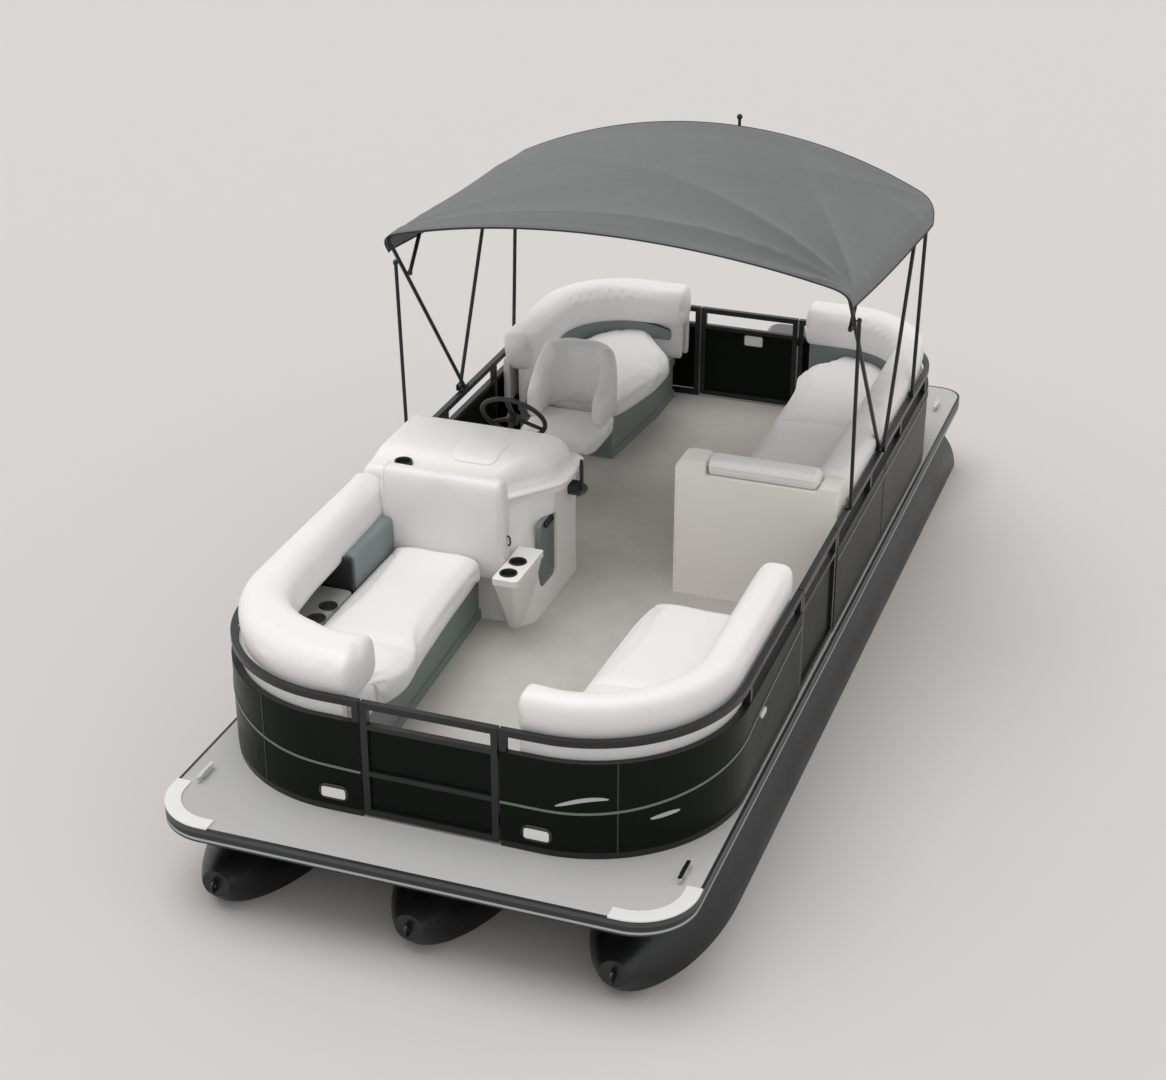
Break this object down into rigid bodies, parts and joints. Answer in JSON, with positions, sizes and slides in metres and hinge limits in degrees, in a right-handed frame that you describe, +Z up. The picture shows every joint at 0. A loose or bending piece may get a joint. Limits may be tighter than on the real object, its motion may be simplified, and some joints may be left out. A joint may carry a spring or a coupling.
{
  "type": "three-tube pontoon boat",
  "caption": "Aluminium pontoon boat with fenced deck, wrap-round lounges, helm console with swivel chair, folding bimini, three hinged gates and a tilting outboard motor.",
  "frame": {"origin": "on the waterline, at the middle of the deck's length and beam", "axes": "bow towards -Y, stern towards +Y, port side +X, starboard side -X, +Z up"},
  "size_m": [2.59, 6.6549, 3.2629],
  "materials": {
    "hull_aluminium": "satin mill finish on welded tubes",
    "frame_black": "satin black powder coat",
    "skin_black": "gloss black panels with a silver accent line",
    "deck_vinyl": "woven grey vinyl flooring",
    "rub_rail": "black rubber with silver stripes",
    "white_plastic": "moulded white plastic",
    "white_vinyl": "white marine vinyl, sewn",
    "accent_vinyl": "grey blue marine vinyl",
    "lounge_base": "grey moulded seat base",
    "gelcoat": "white gelcoat",
    "cabinet_panel": "warm white cabinet panel",
    "black_plastic": "black moulded plastic",
    "canvas": "blue grey acrylic canvas",
    "bimini_tube": "black anodised tube",
    "light_lens": "white lens in a black bezel",
    "bright_metal": "polished",
    "motor_paint": "gloss black",
    "engine_block": "plain block for the closed engine"
  },
  "bodies": {
    "boat": {"pontoon_port": "hull_aluminium", "pontoon_starboard": "hull_aluminium", "pontoon_center": "hull_aluminium", "cross_members": "hull_aluminium", "motor_pod": "hull_aluminium", "deck": "deck_vinyl", "deck_trim": "rub_rail", "bow_castings": "white_plastic", "fence_frame_starboard": "frame_black", "fence_frame_port_bow": "frame_black", "fence_frame_port_stern": "frame_black", "fence_skin_starboard": "skin_black", "fence_skin_port_bow": "skin_black", "fence_skin_port_stern": "skin_black", "docking_lights": "light_lens", "cleats": "bright_metal", "bow_lounge_starboard_base": "lounge_base", "bow_lounge_starboard_seat": "white_vinyl", "bow_lounge_starboard_back": "white_vinyl", "bow_lounge_port_base": "lounge_base", "bow_lounge_port_seat": "white_vinyl", "bow_lounge_port_back": "white_vinyl", "stern_lounge_port_base": "lounge_base", "stern_lounge_port_seat": "white_vinyl", "stern_lounge_port_back": "white_vinyl", "stern_lounge_starboard_base": "lounge_base", "stern_lounge_starboard_seat": "white_vinyl", "stern_lounge_starboard_back": "white_vinyl", "cabinet": "cabinet_panel", "cabinet_arm": "white_vinyl", "helm_front_back": "white_vinyl", "console_body": "gelcoat", "console_dash": "gelcoat", "throttle": "black_plastic", "helm_pedestal": "bright_metal", "bimini_main_bow": "bimini_tube", "bimini_rear_bow": "bimini_tube", "bimini_mounts": "black_plastic", "canopy": "canvas", "clamp_bracket": "motor_paint"},
    "bow_gate": {"bow_gate_frame": "frame_black", "bow_gate_skin": "skin_black"},
    "side_gate": {"side_gate_frame": "frame_black", "side_gate_skin": "skin_black"},
    "stern_gate": {"stern_gate_frame": "frame_black", "stern_gate_skin": "skin_black"},
    "wheel": {"steering_wheel": "black_plastic"},
    "chair": {"chair_mount": "black_plastic", "chair_seat": "white_vinyl", "chair_back": "white_vinyl"},
    "front_bow": {"bimini_front_bow": "bimini_tube"},
    "second_bow": {"bimini_second_bow": "bimini_tube"},
    "struts": {"bimini_struts": "bimini_tube"},
    "swivel": {"swivel_bracket": "motor_paint"},
    "motor": {"outboard_leg": "motor_paint", "powerhead": "engine_block", "outboard_cowl": "motor_paint"},
    "prop": {"propeller": "bright_metal"}
  },
  "joints": [
    {"name": "bow_gate_hinge", "type": "hinge", "parent": "boat", "child": "bow_gate", "pos_m": [0.335, -2.715, 0.8], "axis": [0, 0, -1], "range_deg": [0, 90]},
    {"name": "side_gate_hinge", "type": "hinge", "parent": "boat", "child": "side_gate", "pos_m": [1.228, -0.364, 0.8], "axis": [0, 0, -1], "range_deg": [0, 90]},
    {"name": "stern_gate_hinge", "type": "hinge", "parent": "boat", "child": "stern_gate", "pos_m": [0.324, 2.415, 0.8], "axis": [0, 0, 1], "range_deg": [0, 90]},
    {"name": "chair_swivel", "type": "hinge", "parent": "boat", "child": "chair", "pos_m": [-0.64, 0.79, 0.79], "axis": [0, 0, 1], "continuous": true},
    {"name": "motor_tilt", "type": "hinge", "parent": "boat", "child": "swivel", "pos_m": [0, 3.13, 0.25], "axis": [1, 0, 0], "range_deg": [0, 65]},
    {"name": "motor_steer", "type": "hinge", "parent": "swivel", "child": "motor", "pos_m": [0, 3.196, 0.22], "axis": [0, 0, 1], "range_deg": [-30, 30]},
    {"name": "propeller_spin", "type": "hinge", "parent": "motor", "child": "prop", "pos_m": [0, 3.507, -0.454], "axis": [0, 1, 0], "continuous": true},
    {"name": "wheel_turn", "type": "hinge", "parent": "boat", "child": "wheel", "pos_m": [-0.64, -0.06591, 1.33309], "axis": [0, 0.8192, 0.5736], "range_deg": [-540, 540]},
    {"name": "bimini_fold", "type": "hinge", "parent": "boat", "child": "front_bow", "pos_m": [0, 0.67, 1.133], "axis": [-1, 0, 0], "range_deg": [0, 58.5], "deforming": ["canopy"]},
    {"name": "second_bow_fold", "type": "hinge", "parent": "front_bow", "child": "second_bow", "pos_m": [0, -0.10301, 2.11532], "axis": [1, 0, 0], "range_deg": [0, 68.64]},
    {"name": "strut_fold", "type": "hinge", "parent": "front_bow", "child": "struts", "pos_m": [0, -0.15867, 2.18605], "axis": [1, 0, 0], "range_deg": [0, 32.96]}
  ],
  "couplings": [
    {"joint": "wheel_turn", "follows": "motor_steer", "ratio": -18},
    {"joint": "second_bow_fold", "follows": "bimini_fold", "ratio": 1.17},
    {"joint": "strut_fold", "follows": "bimini_fold", "ratio": 0.56}
  ]
}
